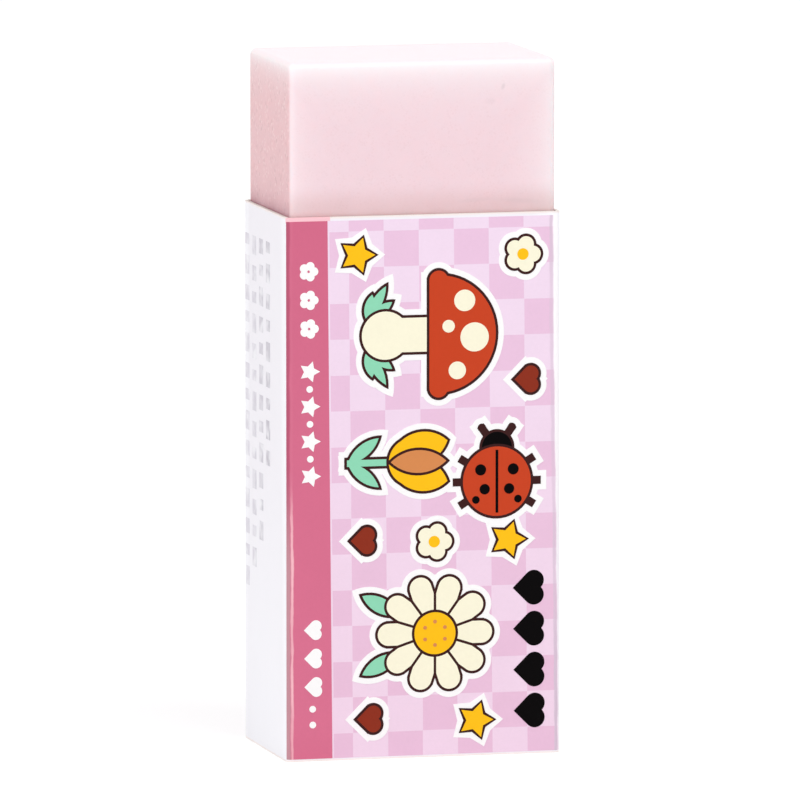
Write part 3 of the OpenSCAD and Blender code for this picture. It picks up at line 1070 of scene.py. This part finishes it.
@dataclass(frozen=True)
class RubberBlock:
    """The rubber block, softened at its edges and a little uneven over its faces."""

    edge_radius: float = 0.42 * MM
    edge_segments: int = 6
    grid_step: float = 0.75 * MM
    cut_tolerance: float = 1e-7
    wave_depth: float = 0.03 * MM
    wave_length: float = 5.0 * MM
    # A point counts as a side face, which takes the painted shade, from this much of its facing
    # sideways on, and fully so this much later.
    side_from: float = 0.72
    side_span: float = 0.25

    SIDE_SHADE = "side_shade"

    def build(self) -> bpy.types.Object:
        """Models the block in the place of its solid.

        Returns:
            The finished block.
        """
        low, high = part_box("block")
        mesh_maker = bmesh.new()
        bmesh.ops.create_cube(mesh_maker, size=1.0)
        bmesh.ops.scale(mesh_maker, vec=high - low, verts=mesh_maker.verts)
        bmesh.ops.translate(mesh_maker, vec=(low + high) / 2, verts=mesh_maker.verts)
        bmesh.ops.bevel(mesh_maker, geom=mesh_maker.edges[:], offset=self.edge_radius,
                        segments=self.edge_segments, profile=0.5, affect="EDGES", material=-1)
        self.cut_grid(mesh_maker, low, high)
        self.sink_faces(mesh_maker)
        self.mark_shaded_sides(mesh_maker)
        block = add_mesh("rubber_block", mesh_maker)
        block.data.shade_smooth()
        return block

    def cut_grid(self, mesh_maker: bmesh.types.BMesh, low: Vector, high: Vector) -> None:
        """Cuts the flat faces into a grid, which the uneven surface needs.

        Args:
            mesh_maker: The block's mesh.
            low: The block's lowest corner.
            high: Its highest corner.
        """
        for axis in range(3):
            start = low[axis] + self.edge_radius
            span = high[axis] - low[axis] - 2 * self.edge_radius
            steps = max(1, round(span / self.grid_step))
            normal = Vector([1.0 if i == axis else 0.0 for i in range(3)])
            for step in range(1, steps):
                geometry = mesh_maker.verts[:] + mesh_maker.edges[:] + mesh_maker.faces[:]
                bmesh.ops.bisect_plane(mesh_maker, geom=geometry, dist=self.cut_tolerance,
                                       plane_co=normal * (start + span * step / steps), plane_no=normal)

    def sink_faces(self, mesh_maker: bmesh.types.BMesh) -> None:
        """Moves each point a little inwards, by a smooth wave, so that the block still fits its sleeve.

        Args:
            mesh_maker: The block's mesh.
        """
        mesh_maker.normal_update()
        moves = []
        for vert in mesh_maker.verts:
            wave = 0.5 + 0.5 * noise.noise(vert.co / self.wave_length)
            moves.append((vert, vert.normal * -self.wave_depth * wave))
        for vert, move in moves:
            vert.co += move

    def mark_shaded_sides(self, mesh_maker: bmesh.types.BMesh) -> None:
        """Writes how far each point faces sideways, which is where the sides' painted shade goes.

        Args:
            mesh_maker: The block's mesh.
        """
        mesh_maker.normal_update()
        layer = mesh_maker.verts.layers.float.new(self.SIDE_SHADE)
        for vert in mesh_maker.verts:
            vert[layer] = min(1.0, max(0.0, (abs(vert.normal.x) - self.side_from) / self.side_span))


@dataclass(frozen=True)
class Dress:
    """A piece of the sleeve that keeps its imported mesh, and the finish that it gets."""

    node: str
    finish: Finish

    def apply(self, effects: Effects) -> None:
        """Puts the finish on the node.

        Args:
            effects: The shared node groups.
        """
        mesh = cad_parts[self.node].data
        mesh.materials.clear()
        mesh.materials.append(self.finish.material(effects))
        LOG.info("%s on the %s: finish %s", self.node, Body.SLEEVE.value, self.finish.name)


DRESSES = (
    Dress("sleeve", CardFinish("coated_card", Paint(245, 242, 248), 0.45)),
    Dress("seam_glue", GlueFinish("dried_glue", Paint(226, 219, 196), 0.4)),
    Dress("print_ground", InkFinish("ink_pale_pink", Paint(243, 220, 240), foot=Paint(242, 214, 234))),
    Dress("print_squares", InkFinish("ink_mid_pink", Paint(236, 198, 225), foot=Paint(234, 193, 219))),
    # The rose stripe's fold strip is painted shade, darker rose above and greyer below; its pale line
    # beside the fold is cracked ink.
    Dress("print_stripe", InkFinish("ink_rose", Paint(211, 105, 136), foot=Paint(217, 113, 144),
                                    fold_wear_and_light=(Paint(180, 84, 112), Paint(194, 143, 153)), bare_reach=0.0,
                                    crack_and_edge_shade=Paint(250, 192, 202), fold_line_width=0.23 * MM, fold_line_top=0.03)),
    Dress("print_side_lines", InkFinish("ink_grey", Paint(197, 192, 202), back=Paint(222, 218, 227),
                                        faded=0.95)),
    Dress("print_white", InkFinish("ink_white", Paint(253, 252, 252))),
    Dress("print_outline", InkFinish("ink_dark_brown", Paint(58, 26, 26), gloss=0.1)),
    Dress("print_black", InkFinish("ink_black", Paint(6, 4, 5), gloss=0.04)),
    Dress("print_red", InkFinish("ink_red", Paint(200, 64, 26))),
    Dress("print_brown", InkFinish("ink_brown", Paint(139, 42, 18))),
    Dress("print_cream", InkFinish("ink_cream", Paint(251, 246, 220))),
    Dress("print_yellow", InkFinish("ink_yellow", Paint(255, 194, 10))),
    Dress("print_mint", InkFinish("ink_mint", Paint(143, 217, 182))),
    Dress("print_tan", InkFinish("ink_tan", Paint(216, 138, 80))),
)


def aim(thing: bpy.types.Object, target: Vector, azimuth: float, elevation: float,
        distance: float) -> None:
    """Places a lamp or a camera round a point, and turns it to the point.

    Args:
        thing: The lamp or camera.
        target: The point.
        azimuth: Degrees to the right of straight in front.
        elevation: Degrees above the floor.
        distance: Metres from the point.
    """
    turn, rise = math.radians(azimuth), math.radians(elevation)
    back = Vector((math.sin(turn) * math.cos(rise), -math.cos(turn) * math.cos(rise), math.sin(rise)))
    thing.location = target + back * distance
    thing.rotation_euler = (-back).to_track_quat("-Z", "Y").to_euler()


@dataclass(frozen=True)
class SoftLight:
    """One large soft lamp that points at the object: angles in degrees, distance and size in metres."""

    name: str
    azimuth: float
    elevation: float
    distance: float
    size: float
    energy: float

    def build(self, target: Vector) -> None:
        """Hangs the lamp.

        Args:
            target: The point that it lights.
        """
        data = bpy.data.lights.new(self.name, "AREA")
        data.shape = "DISK"
        data.size = self.size
        data.energy = self.energy
        aim(add_object(self.name, data), target, self.azimuth, self.elevation, self.distance)


@dataclass(frozen=True)
class Studio:
    """A plain white floor under a white surround, with soft lamps."""

    floor_half: float = 2.5
    # The floor as it is seen, its own glow, and how much light it throws back on the object.
    floor_white: float = 0.56
    floor_glow: float = 0.53
    floor_bounce: float = 0.8
    surround: float = 0.55
    lamps: tuple[SoftLight, ...] = (
        SoftLight("key", 28, 52, 0.9, 0.6, 2.9),
        SoftLight("fill", -62, 30, 0.9, 0.8, 3.3),
        SoftLight("back", 165, 35, 1.0, 0.8, 1.2),
        SoftLight("side", 100, 4, 0.9, 0.6, 1.0),
    )

    def build(self, target: Vector) -> None:
        """Makes floor, surround and lamps.

        Args:
            target: The middle of the object.
        """
        self.build_floor()
        self.build_surround()
        for lamp in self.lamps:
            lamp.build(target)

    def build_floor(self) -> None:
        """Lays the floor that the eraser stands on."""
        mesh_maker = bmesh.new()
        bmesh.ops.create_grid(mesh_maker, x_segments=1, y_segments=1, size=self.floor_half)
        floor = add_mesh("floor", mesh_maker)
        floor.data.materials.append(self.floor_material())

    def floor_material(self) -> bpy.types.Material:
        """Makes a floor that looks white and still takes the object's shadow.

        Returns:
            The material.
        """
        made = bpy.data.materials.new("floor_white")
        made.use_nodes = True
        tree = made.node_tree
        tree.nodes.remove(tree.nodes["Principled BSDF"])
        graph = Graph(tree)
        seen, lit = (graph.node("BsdfDiffuse") for _ in range(2))
        seen.inputs["Color"].default_value = grey(self.floor_white)
        lit.inputs["Color"].default_value = grey(self.floor_bounce)
        glow = graph.node("Emission")
        glow.inputs["Strength"].default_value = self.floor_glow
        both = graph.node("AddShader")
        graph.feed(both.inputs[0], seen.outputs[0])
        graph.feed(both.inputs[1], glow.outputs[0])
        choice = graph.node("MixShader")
        graph.feed(choice.inputs[0], seen_ray(graph))
        graph.feed(choice.inputs[1], lit.outputs[0])
        graph.feed(choice.inputs[2], both.outputs[0])
        graph.feed(tree.nodes["Material Output"].inputs["Surface"], choice.outputs[0])
        return made

    def build_surround(self) -> None:
        """Makes the world white where it is seen, and softer as a light."""
        world = bpy.data.worlds.new("surround")
        world.use_nodes = True
        bpy.context.scene.world = world
        graph = Graph(world.node_tree)
        strength = graph.node("MapRange")
        graph.feed(strength.inputs["Value"], seen_ray(graph))
        graph.feed(strength.inputs["To Min"], self.surround)
        graph.feed(strength.inputs["To Max"], 1.0)
        background = world.node_tree.nodes["Background"]
        background.inputs["Color"].default_value = grey(1.0)
        graph.feed(background.inputs["Strength"], strength.outputs["Result"])


def grey(level: float) -> Colour:
    """The neutral colour of a linear level, with full alpha."""
    return (level, level, level, 1.0)


def seen_ray(graph: Graph) -> Socket:
    """Tells where a surface is looked at: straight, in a reflection or through glass.

    Args:
        graph: The graph that asks.

    Returns:
        1 for such a ray, and 0 for light on its way.
    """
    path = graph.node("LightPath")
    seen = graph.math("MAXIMUM", path.outputs["Is Camera Ray"], path.outputs["Is Glossy Ray"])
    return graph.math("MAXIMUM", seen, path.outputs["Is Transmission Ray"])


@dataclass(frozen=True)
class PictureCamera:
    """A far camera with a long lens, a little to the left of the front and a little above.

    Angles are in degrees, lens and sensor in millimetres, and the rest in metres.
    """

    azimuth: float = -14.1
    elevation: float = 6.9
    distance: float = 0.843
    lens: float = 601.5
    sensor: float = 36.0
    target: tuple[float, float, float] = (-0.08 * MM, 0.0, 21.94 * MM)

    def build(self) -> None:
        """Sets the scene's camera."""
        data = bpy.data.cameras.new("camera")
        data.lens = self.lens
        data.sensor_width = self.sensor
        camera = add_object("camera", data)
        aim(camera, Vector(self.target), self.azimuth, self.elevation, self.distance)
        bpy.context.scene.camera = camera


def build_eraser() -> None:
    """Dresses the sleeve and models the block."""
    effects = Effects(Mottle(), Speckle(), FoldLine(), FoldShade(), Fade(), Grain())
    for dress in DRESSES:
        dress.apply(effects)
    rubber = RubberFinish("pink_rubber", Paint(242, 214, 221), 0.55)
    block = RubberBlock().build()
    block.data.materials.append(rubber.material(effects))
    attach(block, Body.BLOCK.value)
    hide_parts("block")
    LOG.info("rubber_block: finish %s, %d faces", rubber.name, len(block.data.polygons))


def main() -> None:
    """Builds the object, then the studio round it."""
    logging.basicConfig(level=logging.INFO, format="%(message)s")
    bpy.context.scene.view_settings.view_transform = "Standard"
    build_eraser()
    low, high = cad_box
    Studio().build((low + high) / 2)
    PictureCamera().build()


if __name__ == "__main__":
    main()
